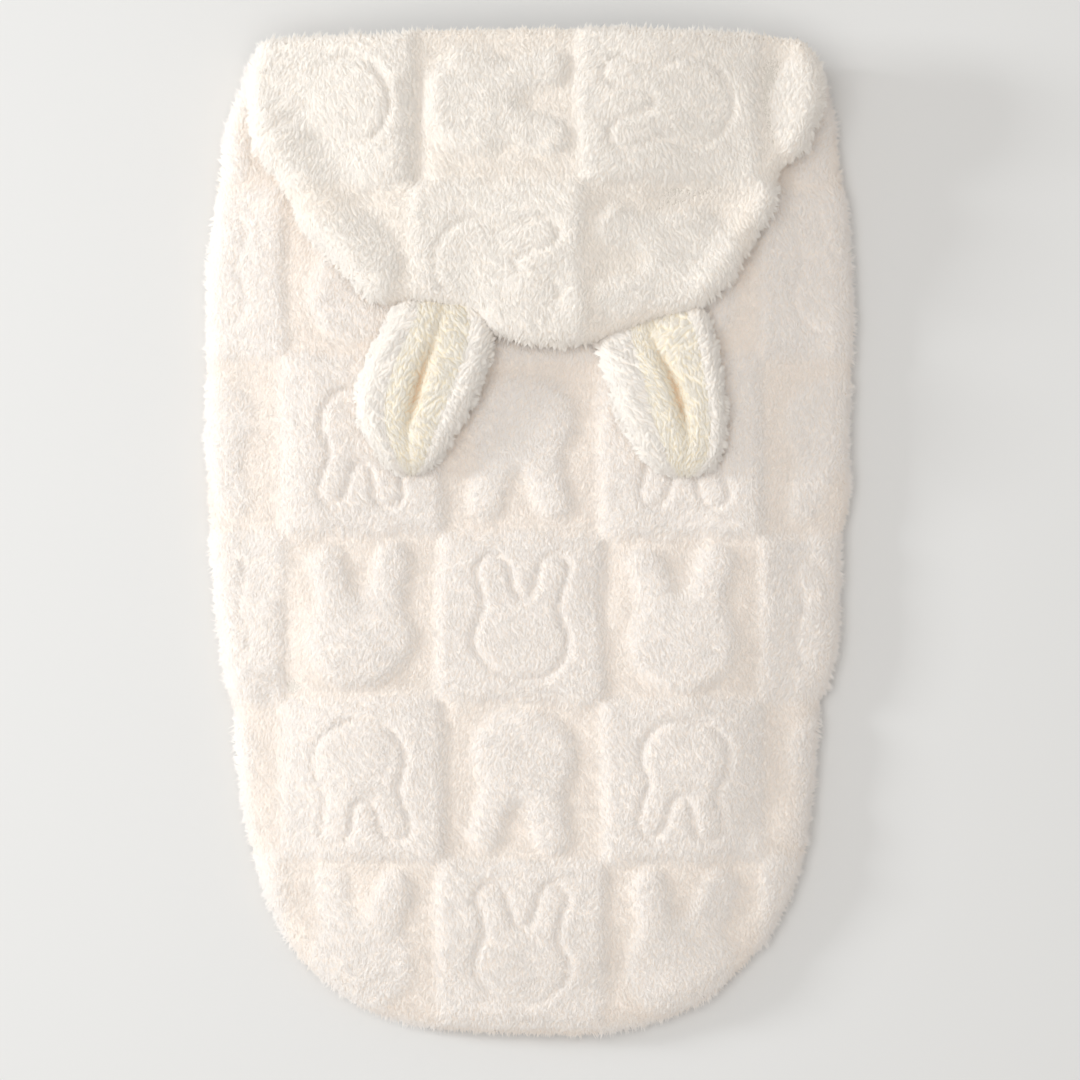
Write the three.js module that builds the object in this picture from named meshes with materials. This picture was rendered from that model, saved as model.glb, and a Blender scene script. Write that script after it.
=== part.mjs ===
// A baby bunting bag in cream embossed plush. It lies face down with the hood folded over the back.
// Millimetres, +Z up. X runs across the bag and +Y from the toe to the neck. The origin is on the
// surface it lies on, under the middle of the bag.
import * as THREE from 'three';

// ---- Cloth ---------------------------------------------------------------------------------
const GAP = 0.3;            // between two pieces at a seam
const WALL = 5;             // plush and lining together, where the pile is pressed low
const PILE = 4;             // rise of the high pile over the low pile
const SLOPE = 3;            // half the width of the slope between the two
const GROOVE = 3.4;         // depth of the line pressed round a rabbit on high pile
const GROOVE_HALF = 4;      // half the width of that line
const EDGE = 2;             // the low pile's edge lies this far inside the outline

// ---- The bag -------------------------------------------------------------------------------
const BAG = {
  bottom: 0,
  rollAcross: 18,           // half the width of the soft roll down each side and round the toe
  rollUp: 16,               // half its height
  seamIn: 26,               // the side seam lies under the roll, this far in from the outline
  puff: 5,                  // rise of the middle of the back
  puffFrom: 45,             // the hood presses the back flat above this line
  puffFull: -60,
  neck: 313,
  waist: -104,              // where the front wings end and the closed pouch begins
};
const WING_LAP = 25;        // each front wing passes the middle by this much
const WING_STEP = 15;       // the run in which the upper wing climbs over the lower
const NECK_DIP = 28;        // the front neck edge drops this far at the middle

// ---- The hood, folded over the back ----------------------------------------------------------
const HOOD = {
  bottom: 2 * BAG.rollUp + PILE + GAP,
  rollAcross: 11,
  rollUp: 9.5,
  seamIn: 14,
  puff: 6,
};

// ---- Outlines, seen from above -----------------------------------------------------------------
// Each side of the bag steps in a little at the waist, where the wing ends.
const LEFT_SIDE = [
  { x: -184, y: 313 }, { x: -194, y: 286 }, { x: -200, y: 266 }, { x: -205, y: 234 },
  { x: -209.5, y: 195 }, { x: -211.5, y: 156 }, { x: -212.5, y: 91 }, { x: -211.5, y: 39 },
  { x: -210, y: 0 }, { x: -206.5, y: -39 }, { x: -203, y: -75 }, { x: -200, y: -97 },
  { x: -197, y: -104 },
];
const TOE = [
  { x: -197, y: -104 }, { x: -194.5, y: -113 }, { x: -193, y: -135 }, { x: -190, y: -162 },
  { x: -185, y: -192 }, { x: -177.5, y: -221 }, { x: -167.5, y: -247 }, { x: -154, y: -272 },
  { x: -137, y: -289 }, { x: -115, y: -305 }, { x: -84, y: -317 }, { x: -52, y: -322 },
  { x: 8, y: -325.5 }, { x: 46, y: -324.5 }, { x: 81, y: -317 }, { x: 110, y: -305 },
  { x: 138, y: -283 }, { x: 159, y: -257 }, { x: 173, y: -228 }, { x: 180, y: -205 },
  { x: 183.5, y: -179 }, { x: 188, y: -146 }, { x: 190, y: -112 }, { x: 192.5, y: -104 },
];
const RIGHT_SIDE = [
  { x: 192.5, y: -104 }, { x: 196, y: -93 }, { x: 202, y: -65 }, { x: 203.5, y: -32 },
  { x: 205, y: 0 }, { x: 209, y: 26 }, { x: 210, y: 71 }, { x: 212, y: 123 },
  { x: 211.5, y: 156 }, { x: 209.5, y: 214 }, { x: 206, y: 234 }, { x: 203, y: 260 },
  { x: 198, y: 287 }, { x: 189, y: 313 },
];
// The hood from the left end of its face edge, down its left side, along the crown and up.
const HOOD_SIDES = [
  { x: -177, y: 314 }, { x: -182, y: 292 }, { x: -179, y: 268 }, { x: -173, y: 248 },
  { x: -163, y: 238 }, { x: -155, y: 222 }, { x: -144, y: 200 }, { x: -126, y: 183 },
  { x: -111, y: 166 }, { x: -96, y: 157 }, { x: -58, y: 151 }, { x: -35, y: 144 },
  { x: -24, y: 133 }, { x: -2, y: 126 }, { x: 20, y: 124 }, { x: 46, y: 129 },
  { x: 78, y: 140 }, { x: 107, y: 148 }, { x: 118, y: 158 }, { x: 135, y: 176 },
  { x: 146, y: 195 }, { x: 156, y: 214 }, { x: 162, y: 234 }, { x: 168, y: 243 },
  { x: 177, y: 251 }, { x: 184, y: 266 }, { x: 189, y: 282 }, { x: 189, y: 300 },
  { x: 184, y: 314 },
];
const HOOD_FACE = [
  { x: 184, y: 314 }, { x: 174, y: 321 }, { x: 149, y: 324 }, { x: 110, y: 325 },
  { x: 58, y: 326 }, { x: -13, y: 326 }, { x: -73, y: 325 }, { x: -88, y: 322 },
  { x: -130, y: 322 }, { x: -170, y: 320 }, { x: -177, y: 314 },
];

// ---- Embossed pattern ----------------------------------------------------------------------
// Squares of high and low pile in turn. Each holds a rabbit's head: raised on low pile, drawn by
// a groove on high pile. The heads stand upright and upside down in turn, and lie on their sides
// on the hood, where the cloth is turned.
const BACK_PATTERN = {
  columns: [-265, -161, -58, 47, 149.5, 253],
  rows: [336, 227.5, 119, 3, -104, -208, -316],
  raisedWhen: 0,
  turned: false,
};
const HOOD_PATTERN = {
  columns: [-183, -75, 33, 146, 254],
  rows: [332, 229, 126, 23],
  raisedWhen: 1,
  turned: true,
};
const RABBIT = {
  headAcross: 33, headUp: 31, headDrop: 15,
  earRadius: 9.5, earRootAcross: 13, earRootUp: 6, earTipAcross: 21, earTipUp: 31,
  blend: 5,
};
const DRAWN_SCALE = 0.88;   // a grooved rabbit is smaller than a raised one

// The largest soft folds, seen from above: each runs from one point to the other.
const BACK_FOLDS = [
  { from: [-166, -98], to: [-60, -104], half: 10, rise: -2.2 },
  { from: [-158, -48], to: [-156, -92], half: 9, rise: -2 },
  { from: [47, 0], to: [45, -45], half: 9, rise: -1.8 },
  { from: [120, -104], to: [186, -106], half: 9, rise: -2 },
  { from: [-178, 150], to: [-172, 215], half: 12, rise: 2 },
  { from: [150, -215], to: [168, -180], half: 10, rise: 2.5 },
];
const HOOD_FOLDS = [
  { from: [-74, 292], to: [-72, 226], half: 12, rise: -2.5 },
  { from: [-132, 208], to: [-90, 174], half: 13, rise: 4 },
  { from: [-112, 226], to: [-74, 190], half: 10, rise: -2.5 },
  { from: [-20, 150], to: [40, 146], half: 14, rise: 3 },
  { from: [-160, 292], to: [-110, 296], half: 16, rise: 3 },
  { from: [96, 176], to: [136, 222], half: 14, rise: 2.5 },
];

// ---- Ears ----------------------------------------------------------------------------------
// Rows from the root at the crown seam to the tip: both edges, the crease, and the height.
const EAR_WALL = 4;
const EAR_LINING = 3;
const LEFT_EAR = [
  { left: [-89, 150], right: [-37, 139], crease: [-62, 144], height: 17 },
  { left: [-100, 131], right: [-28, 125], crease: [-64, 124], height: 21 },
  { left: [-106.5, 112], right: [-32, 104], crease: [-67, 105], height: 22 },
  { left: [-109, 90], right: [-38, 89], crease: [-72, 88], height: 21 },
  { left: [-107.5, 71], right: [-48, 71], crease: [-76.5, 72], height: 19 },
  { left: [-99, 57], right: [-58, 56], crease: [-78, 57], height: 14 },
  { left: [-88, 50], right: [-67, 49], crease: [-77, 49], height: 9 },
];
const RIGHT_EAR = [
  { left: [45, 125], right: [110, 144.5], crease: [76, 135], height: 17 },
  { left: [47, 112], right: [119, 127], crease: [81, 121], height: 21 },
  { left: [53, 96], right: [123, 109], crease: [89, 103], height: 22 },
  { left: [59, 80], right: [125, 90], crease: [94.5, 87], height: 21 },
  { left: [68, 65], right: [124, 72], crease: [100, 71], height: 19 },
  { left: [79, 51], right: [121, 53], crease: [101, 53], height: 14 },
  { left: [95, 42], right: [112, 42], crease: [103, 42], height: 9 },
];

// ---- Meshing -------------------------------------------------------------------------------
const ROLL_ANGLES = [90, 56, 22, -12, -50, -90];
const SIDE_STEPS = 40;
const TOE_STEPS = 58;
const HOOD_STEPS = 62;
const NECK_STEPS = 36;
const SQUARE_STEPS = 11;    // grid steps across one embossed square
const PLAIN_STEP = 34;      // grid step of the plain inside
const MARGIN = 5;           // from the grid to the ring round it
const EAR_ROWS = 10;

const PLUSH = new THREE.MeshStandardMaterial({ color: 0xf5efe7, roughness: 0.95, metalness: 0 });
const HOOD_PLUSH = new THREE.MeshStandardMaterial({ color: 0xf6efe3, roughness: 0.95, metalness: 0 });
const LINING = new THREE.MeshStandardMaterial({ color: 0xf3e6cd, roughness: 0.95, metalness: 0 });

const { smoothstep, lerp, degToRad, clamp } = THREE.MathUtils;

// ---- Pattern -------------------------------------------------------------------------------
function capsuleDistance(p, q, a, b, radius) {
  const along = clamp(((p - a.p) * (b.p - a.p) + (q - a.q) * (b.q - a.q))
    / ((b.p - a.p) ** 2 + (b.q - a.q) ** 2), 0, 1);
  return Math.hypot(p - lerp(a.p, b.p, along), q - lerp(a.q, b.q, along)) - radius;
}

function softMin(a, b, blend) {
  const near = Math.max(blend - Math.abs(a - b), 0) / blend;
  return Math.min(a, b) - near * near * blend / 4;
}

/** Distance from a rabbit's outline, negative inside; q points up from the head to the ears. */
function rabbitDistance(p, q, scale) {
  const side = Math.abs(p) / scale;
  const up = q / scale;
  const r = RABBIT;
  const head = (Math.hypot(side / r.headAcross, (up + r.headDrop) / r.headUp) - 1) * r.headUp;
  const root = { p: r.earRootAcross, q: r.earRootUp };
  const tip = { p: r.earTipAcross, q: r.earTipUp };
  return scale * softMin(head, capsuleDistance(side, up, root, tip, r.earRadius), r.blend);
}

/** The embossed square that holds (u, v): its kind, and the point's place in it. */
function squareAt(pattern, u, v) {
  const { columns, rows } = pattern;
  const column = clamp(columns.findIndex((x) => x > u) - 1, 0, columns.length - 2);
  const row = clamp(rows.findIndex((y) => y < v) - 1, 0, rows.length - 2);
  const across = u - (columns[column] + columns[column + 1]) / 2;
  const along = v - (rows[row] + rows[row + 1]) / 2;
  const raised = (column + row) % 2 === pattern.raisedWhen;
  const scale = raised ? 1 : DRAWN_SCALE;
  const q = pattern.turned ? across * (column % 2 ? 1 : -1) : along * (row % 2 ? 1 : -1);
  const p = pattern.turned ? along : across;
  const toEdge = Math.min(
    u - columns[column], columns[column + 1] - u,
    rows[row] - v, v - rows[row + 1],
  );
  return { raised, toEdge, toRabbit: rabbitDistance(p, q, scale) };
}

/** Height of the pile over the low pile. */
function pileHeight(pattern, u, v) {
  const { raised, toEdge, toRabbit } = squareAt(pattern, u, v);
  if (raised) {
    const ground = PILE * smoothstep(-toEdge, -SLOPE, SLOPE);
    return Math.max(ground, PILE * smoothstep(-toRabbit, -SLOPE, SLOPE));
  }
  const ground = PILE * smoothstep(toEdge, -SLOPE, SLOPE);
  return ground - GROOVE * (1 - smoothstep(Math.abs(toRabbit), 0, GROOVE_HALF));
}

/** Rise of the soft folds at (u, v). */
function foldHeight(folds, u, v) {
  return folds.reduce((rise, { from: [ax, ay], to: [bx, by], half, rise: most }) => {
    const distance = capsuleDistance(u, v, { p: ax, q: ay }, { p: bx, q: by }, 0);
    return rise + most * (1 - smoothstep(distance, 0, 2 * half));
  }, 0);
}

/** Moves a grid point onto the slope or groove of a rabbit that passes close to it. */
function snapToRabbit(pattern, u, v, reach) {
  const here = squareAt(pattern, u, v);
  const d = here.toRabbit;
  if (Math.abs(d) >= reach || here.toEdge < reach) {
    return [u, v];
  }
  const step = 0.5;
  const slopeU = (squareAt(pattern, u + step, v).toRabbit - d) / step;
  const slopeV = (squareAt(pattern, u, v + step).toRabbit - d) / step;
  const length = Math.hypot(slopeU, slopeV) || 1;
  const target = here.raised ? Math.sign(d) * SLOPE : 0;
  const move = (target - d) / length;
  return [u + move * slopeU / length, v + move * slopeV / length];
}

// ---- Plan helpers --------------------------------------------------------------------------
function splinePoints(table, steps) {
  const curve = new THREE.SplineCurve(table.map(({ x, y }) => new THREE.Vector2(x, y)));
  curve.arcLengthDivisions = 800;
  return curve.getSpacedPoints(steps);
}

/** Outward directions along a rim that runs anticlockwise; the points in square lie straight out. */
function rimNormals(points, square, reach = 3) {
  return points.map((point, i) => {
    if (square.includes(i)) {
      return new THREE.Vector2(Math.sign(point.x), 0);
    }
    const before = points[Math.max(i - reach, 0)];
    const after = points[Math.min(i + reach, points.length - 1)];
    return new THREE.Vector2(after.y - before.y, before.x - after.x).normalize();
  });
}

function insetPoints(points, normals, inset) {
  return points.map((point, i) => point.clone().addScaledVector(normals[i], -inset));
}

function distanceToLoop(loop, x, y) {
  let nearest = Infinity;
  let inside = false;
  for (let i = 0, j = loop.length - 1; i < loop.length; j = i, i += 1) {
    const a = loop[j];
    const b = loop[i];
    const t = clamp(((x - a.x) * (b.x - a.x) + (y - a.y) * (b.y - a.y))
      / ((b.x - a.x) ** 2 + (b.y - a.y) ** 2), 0, 1);
    nearest = Math.min(nearest, Math.hypot(x - lerp(a.x, b.x, t), y - lerp(a.y, b.y, t)));
    if ((a.y > y) !== (b.y > y) && x < a.x + (y - a.y) / (b.y - a.y) * (b.x - a.x)) {
      inside = !inside;
    }
  }
  return inside ? nearest : -nearest;
}

function signedArea(a, b, c) {
  return (b.x - a.x) * (c.y - a.y) - (c.x - a.x) * (b.y - a.y);
}

// ---- Solids --------------------------------------------------------------------------------
class Solid {
  constructor() {
    this.points = [];
    this.faces = [];
  }

  add(x, y, z) {
    this.points.push(x, y, z);
    return this.points.length / 3 - 1;
  }

  triangle(a, b, c, turned = false) {
    this.faces.push(a, turned ? c : b, turned ? b : c);
  }

  quad(a, b, c, d, turned = false) {
    this.triangle(a, b, c, turned);
    this.triangle(a, c, d, turned);
  }

  mesh(name, material) {
    const geometry = new THREE.BufferGeometry();
    geometry.setAttribute('position', new THREE.Float32BufferAttribute(this.points, 3));
    geometry.setIndex(this.faces);
    geometry.computeVertexNormals();
    const mesh = new THREE.Mesh(geometry, material);
    mesh.name = name;
    return mesh;
  }
}

/** Grid lines across a pattern, with one on each side of every line between two squares. */
function squareLines(lines, low, high) {
  const sorted = [...lines].sort((a, b) => a - b);
  const out = [];
  for (let i = 0; i + 1 < sorted.length; i += 1) {
    for (let k = 0; k <= SQUARE_STEPS; k += 1) {
      out.push(lerp(sorted[i] + SLOPE, sorted[i + 1] - SLOPE, k / SQUARE_STEPS));
    }
  }
  return out.filter((value) => value > low && value < high);
}

function evenLines(low, high, step) {
  const count = Math.ceil((high - low) / step);
  return Array.from({ length: count + 1 }, (_, i) => lerp(low, high, i / count));
}

/** The whole grid squares inside a loop, kept as one run of columns in each row. */
function gridInside(loop, xs, ys) {
  const keep = ys.map((y) => xs.map((x) => distanceToLoop(loop, x, y) > MARGIN));
  const squares = [];
  for (let j = 0; j + 1 < ys.length; j += 1) {
    for (let i = 0; i + 1 < xs.length; i += 1) {
      if (keep[j][i] && keep[j][i + 1] && keep[j + 1][i] && keep[j + 1][i + 1]) {
        squares.push([i, j]);
      }
    }
  }
  return squares;
}

/** The outline of a set of triangles, as one loop of their point numbers. */
function outerLoop(triangles) {
  const next = new Map();
  for (const [a, b, c] of triangles) {
    for (const [from, to] of [[a, b], [b, c], [c, a]]) {
      next.set(`${from} ${to}`, [from, to]);
    }
  }
  const follow = new Map();
  for (const [from, to] of next.values()) {
    if (!next.has(`${to} ${from}`)) {
      follow.set(from, to);
    }
  }
  const start = follow.keys().next().value;
  const loop = [start];
  for (let at = follow.get(start); at !== start; at = follow.get(at)) {
    loop.push(at);
  }
  return loop;
}

/** The flat plan of a cap: its points, and triangles that join them to the loop round it. */
function capPlan(loop, xs, ys, snap) {
  const places = new Map();
  const plan = [];
  const placeOf = (i, j) => {
    const key = `${i} ${j}`;
    if (!places.has(key)) {
      places.set(key, plan.length);
      const [x, y] = snap(xs[i], ys[j]);
      plan.push({ x, y, gridX: xs[i], gridY: ys[j] });
    }
    return places.get(key);
  };
  const corners = gridInside(loop, xs, ys)
    .map(([i, j]) => [placeOf(i, j), placeOf(i + 1, j), placeOf(i + 1, j + 1), placeOf(i, j + 1)]);
  // A moved point that would fold the cloth over goes back to its place in the grid.
  for (let pass = 0; pass < 3; pass += 1) {
    for (const [a, b, c, d] of corners) {
      const around = [a, b, c, d].map((index) => plan[index]);
      const folds = [[0, 1, 2], [0, 2, 3], [0, 1, 3], [1, 2, 3]]
        .some(([i, j, k]) => signedArea(around[i], around[j], around[k]) < 6);
      if (folds) {
        for (const point of around) {
          point.x = point.gridX;
          point.y = point.gridY;
        }
      }
    }
  }
  return { plan, corners };
}

/** The angle at c between a and b, looking from above. */
function cornerAngle(a, b, c) {
  const across = signedArea(c, a, b);
  return Math.abs(Math.atan2(across, (a.x - c.x) * (b.x - c.x) + (a.y - c.y) * (b.y - c.y)));
}

/** Triangles between a loop and the hole in it, with shared edges turned until none is thin. */
function bandTriangles(points, loopLength) {
  const cut = THREE.ShapeUtils.triangulateShape(points.slice(0, loopLength), [points.slice(loopLength)]);
  const triangles = cut.map(([a, b, c]) => (
    signedArea(points[a], points[b], points[c]) < 0 ? [a, c, b] : [a, b, c]
  ));
  for (let pass = 0; pass < 40; pass += 1) {
    const owner = new Map();
    triangles.forEach((corner, t) => corner.forEach((from, k) => {
      owner.set(`${from} ${corner[(k + 1) % 3]}`, [t, corner[(k + 2) % 3]]);
    }));
    const done = new Set();
    for (const [edge, [t, c]] of owner) {
      const [a, b] = edge.split(' ').map(Number);
      const [other, d] = owner.get(`${b} ${a}`) ?? [];
      const free = other !== undefined && !done.has(t) && !done.has(other);
      const angles = free && cornerAngle(points[a], points[b], points[c])
        + cornerAngle(points[a], points[b], points[d]);
      if (free && angles > Math.PI + 0.01) {
        triangles[t] = [c, a, d];
        triangles[other] = [d, b, c];
        done.add(t).add(other);
      }
    }
    if (!done.size) {
      break;
    }
  }
  return triangles;
}

/**
 * One face of a wall: the cap, the rings that roll down its rim, and the edge they end in.
 * form.heightAt(x, y) is the cap's height and form.pileAt(u, v) the pile's, measured off the face.
 */
function addFace(solid, form, rings, grid, turned) {
  const { rim, normals, neck } = form;
  const tangent = rings[0];
  const capLoop = [...insetPoints(rim, normals, tangent.inset), ...neck];
  const ringIndices = rings.map((ring) => rim.map((point, i) => {
    const normal = normals[i];
    const plan = point.clone().addScaledVector(normal, -ring.inset);
    const unrolled = point.clone().addScaledVector(normal, ring.arc - tangent.inset);
    const pile = grid.pileAt(unrolled.x, unrolled.y) * ring.fade;
    return solid.add(
      plan.x + normal.x * ring.out * pile,
      plan.y + normal.y * ring.out * pile,
      ring.z + ring.up * pile,
    );
  }));
  const heightAt = (x, y) => tangent.z + form.puffAt(x, y) + grid.pileAt(x, y);
  const neckIndices = neck.map(({ x, y }) => solid.add(x, y, heightAt(x, y)));
  for (let r = 0; r + 1 < rings.length; r += 1) {
    for (let i = 0; i + 1 < rim.length; i += 1) {
      const upper = ringIndices[r];
      const lower = ringIndices[r + 1];
      solid.quad(upper[i], lower[i], lower[i + 1], upper[i + 1], turned);
    }
  }

  const { plan, corners } = capPlan(capLoop, grid.xs, grid.ys, grid.snap);
  const heights = plan.map(({ x, y }) => heightAt(x, y));
  const inner = plan.map(({ x, y }, i) => solid.add(x, y, heights[i]));
  const triangles = [];
  for (const [a, b, c, d] of corners) {
    const level = Math.abs(heights[a] - heights[c]) < Math.abs(heights[b] - heights[d]);
    triangles.push(...(level ? [[a, b, c], [a, c, d]] : [[a, b, d], [b, c, d]]));
  }
  const hole = outerLoop(triangles);
  for (const [a, b, c] of triangles) {
    solid.triangle(inner[a], inner[b], inner[c], turned);
  }
  const outside = [...ringIndices[0], ...neckIndices];
  const bandPoints = [...capLoop, ...hole.map((i) => new THREE.Vector2(plan[i].x, plan[i].y))];
  const bandIndices = [...outside, ...hole.map((i) => inner[i])];
  for (const corner of bandTriangles(bandPoints, capLoop.length)) {
    solid.triangle(...corner.map((i) => bandIndices[i]), turned);
  }

  const last = rim.length - 1;
  return [
    ...ringIndices.at(-1),
    ...ringIndices.slice(0, -1).reverse().map((ring) => ring[last]),
    ...neckIndices,
    ...ringIndices.slice(0, -1).map((ring) => ring[0]),
  ];
}

/** Rings of a soft roll, from the top of the cap to the seam under it. */
function rollRings(size, depth) {
  const across = size.rollAcross - depth;
  const up = size.rollUp - depth;
  const middle = size.bottom + size.rollUp;
  const rings = ROLL_ANGLES.map((degrees) => {
    const angle = degToRad(degrees);
    return {
      inset: EDGE + depth + across * (1 - Math.cos(angle)),
      z: middle + up * Math.sin(angle),
      out: Math.cos(angle),
      up: Math.sin(angle),
      arc: (size.rollAcross + size.rollUp) / 2 * degToRad(90 - degrees),
      fade: smoothstep(degrees, -55, 0),
    };
  });
  const end = rings.at(-1);
  return [...rings, { ...end, inset: size.seamIn, arc: end.arc + size.seamIn - end.inset }];
}

/** A wall with an embossed outside, a plain inside, a rolled rim and an open neck. */
function embossedWall(name, material, form, size, pattern, folds) {
  const solid = new Solid();
  const capLoop = [...insetPoints(form.rim, form.normals, EDGE + size.rollAcross), ...form.neck];
  const xs = capLoop.map((point) => point.x);
  const ys = capLoop.map((point) => point.y);
  const box = { left: Math.min(...xs), right: Math.max(...xs), low: Math.min(...ys), high: Math.max(...ys) };
  const reach = (pattern.columns[1] - pattern.columns[0] - 2 * SLOPE) / SQUARE_STEPS / 2;
  const embossed = {
    xs: squareLines(pattern.columns, box.left, box.right),
    ys: squareLines(pattern.rows, box.low, box.high).filter(form.keepRow),
    snap: (x, y) => snapToRabbit(pattern, x, y, reach),
    pileAt: (u, v) => pileHeight(pattern, u, v) + foldHeight(folds, u, v),
  };
  const plain = {
    xs: evenLines(box.left, box.right, PLAIN_STEP),
    ys: evenLines(box.low, box.high, PLAIN_STEP),
    snap: (x, y) => [x, y],
    pileAt: () => 0,
  };
  const outer = addFace(solid, form, rollRings(size, 0), embossed, false);
  const inner = addFace(solid, form, rollRings(size, WALL), plain, true);
  outer.forEach((index, i) => {
    const next = (i + 1) % outer.length;
    solid.quad(index, inner[i], inner[next], outer[next]);
  });
  return solid.mesh(name, material);
}

/** A flat panel with its outline in plan. */
function flatPanel(name, material, outline, bottom, thickness) {
  const geometry = new THREE.ExtrudeGeometry(new THREE.Shape(outline), {
    depth: thickness,
    bevelEnabled: false,
    steps: 1,
  });
  geometry.translate(0, 0, bottom);
  const mesh = new THREE.Mesh(geometry, material);
  mesh.name = name;
  return mesh;
}

/** A panel from rows of points on its underside. */
function rowPanel(name, material, rows, thickness) {
  const solid = new Solid();
  const under = rows.map((row) => row.map(({ x, y, z }) => solid.add(x, y, z)));
  const over = rows.map((row) => row.map(({ x, y, z }) => solid.add(x, y, z + thickness)));
  const lastRow = rows.length - 1;
  const lastColumn = rows[0].length - 1;
  for (let j = 0; j < lastRow; j += 1) {
    for (let i = 0; i < lastColumn; i += 1) {
      solid.quad(over[j][i], over[j + 1][i], over[j + 1][i + 1], over[j][i + 1]);
      solid.quad(under[j][i], under[j][i + 1], under[j + 1][i + 1], under[j + 1][i]);
    }
  }
  const edge = [
    ...rows.map((_, j) => [j, 0]),
    ...rows[0].slice(1).map((_, i) => [lastRow, i + 1]),
    ...rows.slice(1).map((_, j) => [lastRow - 1 - j, lastColumn]),
    ...rows[0].slice(2).map((_, i) => [0, lastColumn - 1 - i]),
  ];
  edge.forEach(([j, i], k) => {
    const [nextJ, nextI] = edge[(k + 1) % edge.length];
    solid.quad(under[j][i], under[nextJ][nextI], over[nextJ][nextI], over[j][i]);
  });
  return solid.mesh(name, material);
}

/** A solid through rows of closed sections, each a list of { x, y, z } with the same count. */
function loft(name, material, rows) {
  const solid = new Solid();
  const rings = rows.map((row) => row.points.map(({ x, y, z }) => solid.add(x, y, z)));
  const count = rings[0].length;
  for (let j = 0; j + 1 < rings.length; j += 1) {
    for (let i = 0; i < count; i += 1) {
      const next = (i + 1) % count;
      solid.quad(rings[j][i], rings[j][next], rings[j + 1][next], rings[j + 1][i]);
    }
  }
  for (const [j, turned] of [[0, true], [rings.length - 1, false]]) {
    const flat = rows[j].section;
    for (const corner of THREE.ShapeUtils.triangulateShape([...flat], [])) {
      const clockwise = signedArea(...corner.map((i) => flat[i])) < 0;
      solid.triangle(...corner.map((i) => rings[j][i]), clockwise !== turned);
    }
  }
  return solid.mesh(name, material);
}

// ---- Ears ----------------------------------------------------------------------------------
// The outside of an ear in section, from one lip under the ear to the other lip: across in half
// widths, up in heights.
const EAR_SECTION = [
  [-0.5, 1], [-0.8, 0.93], [-0.97, 0.66], [-1, 0.4], [-0.9, 0.12], [-0.66, 0],
  [0.66, 0], [0.9, 0.12], [1, 0.4], [0.97, 0.66], [0.8, 0.93], [0.5, 1],
];
// The lining from lip to lip: across in lip widths, up as a share from the crease to the lip.
const EAR_FOLD = [[-1, 1], [-0.62, 0.86], [-0.22, 0.34], [0, 0], [0.22, 0.34], [0.62, 0.86], [1, 1]];
const CREASE_UP = 0.45;

/** Points of an open line moved to its left side. */
function offsetLine(line, distance) {
  return line.map((point, i) => {
    const before = line[Math.max(i - 1, 0)];
    const after = line[Math.min(i + 1, line.length - 1)];
    const along = after.clone().sub(before).normalize();
    return new THREE.Vector2(point.x - along.y * distance, point.y + along.x * distance);
  });
}

function earRows(table) {
  const curveOf = (key) => new THREE.CatmullRomCurve3(
    table.map((row) => new THREE.Vector3(row[key][0], row[key][1], row.height)),
  );
  const curves = { left: curveOf('left'), right: curveOf('right'), crease: curveOf('crease') };
  return Array.from({ length: EAR_ROWS + 1 }, (_, i) => {
    const t = i / EAR_ROWS;
    const left = curves.left.getPoint(t);
    const right = curves.right.getPoint(t);
    const middle = left.clone().lerp(right, 0.5);
    const half = right.clone().sub(left).setZ(0).multiplyScalar(0.5);
    const crease = curves.crease.getPoint(t).sub(middle).dot(half) / half.lengthSq();
    return { middle, half, width: half.length(), height: left.z, crease: clamp(crease, -0.3, 0.3) };
  });
}

/** A section drawn in millimetres across and up, placed on its row of the ear. */
function placeSection(row, section) {
  const direction = row.half.clone().normalize();
  const points = section.map(({ x, y }) => ({
    x: row.middle.x + direction.x * x,
    y: row.middle.y + direction.y * x,
    z: HOOD.bottom + y,
  }));
  return { section, points };
}

function earOutside(name, table) {
  return loft(name, HOOD_PLUSH, earRows(table).map((row) => {
    const line = EAR_SECTION.map(([s, z]) => new THREE.Vector2(s * row.width, z * row.height));
    const wall = Math.min(EAR_WALL, 0.28 * row.width, 0.3 * row.height);
    return placeSection(row, [...line, ...offsetLine(line, wall).reverse()]);
  }));
}

function earLining(name, table) {
  return loft(name, LINING, earRows(table).map((row) => {
    const wall = Math.min(EAR_WALL, 0.28 * row.width, 0.3 * row.height);
    const thickness = Math.min(EAR_LINING, 0.75 * wall);
    const lip = 0.5 * row.width - 0.3 * wall - GAP;
    const low = Math.max(CREASE_UP * row.height, wall + thickness + GAP);
    const top = EAR_FOLD.map(([s, z]) => new THREE.Vector2(
      (s + row.crease * (1 - s * s)) * lip,
      lerp(low, 0.97 * row.height, z),
    ));
    const under = top.map((point) => new THREE.Vector2(point.x, point.y - thickness));
    return placeSection(row, [...under, ...top.reverse()]);
  }));
}

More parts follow.
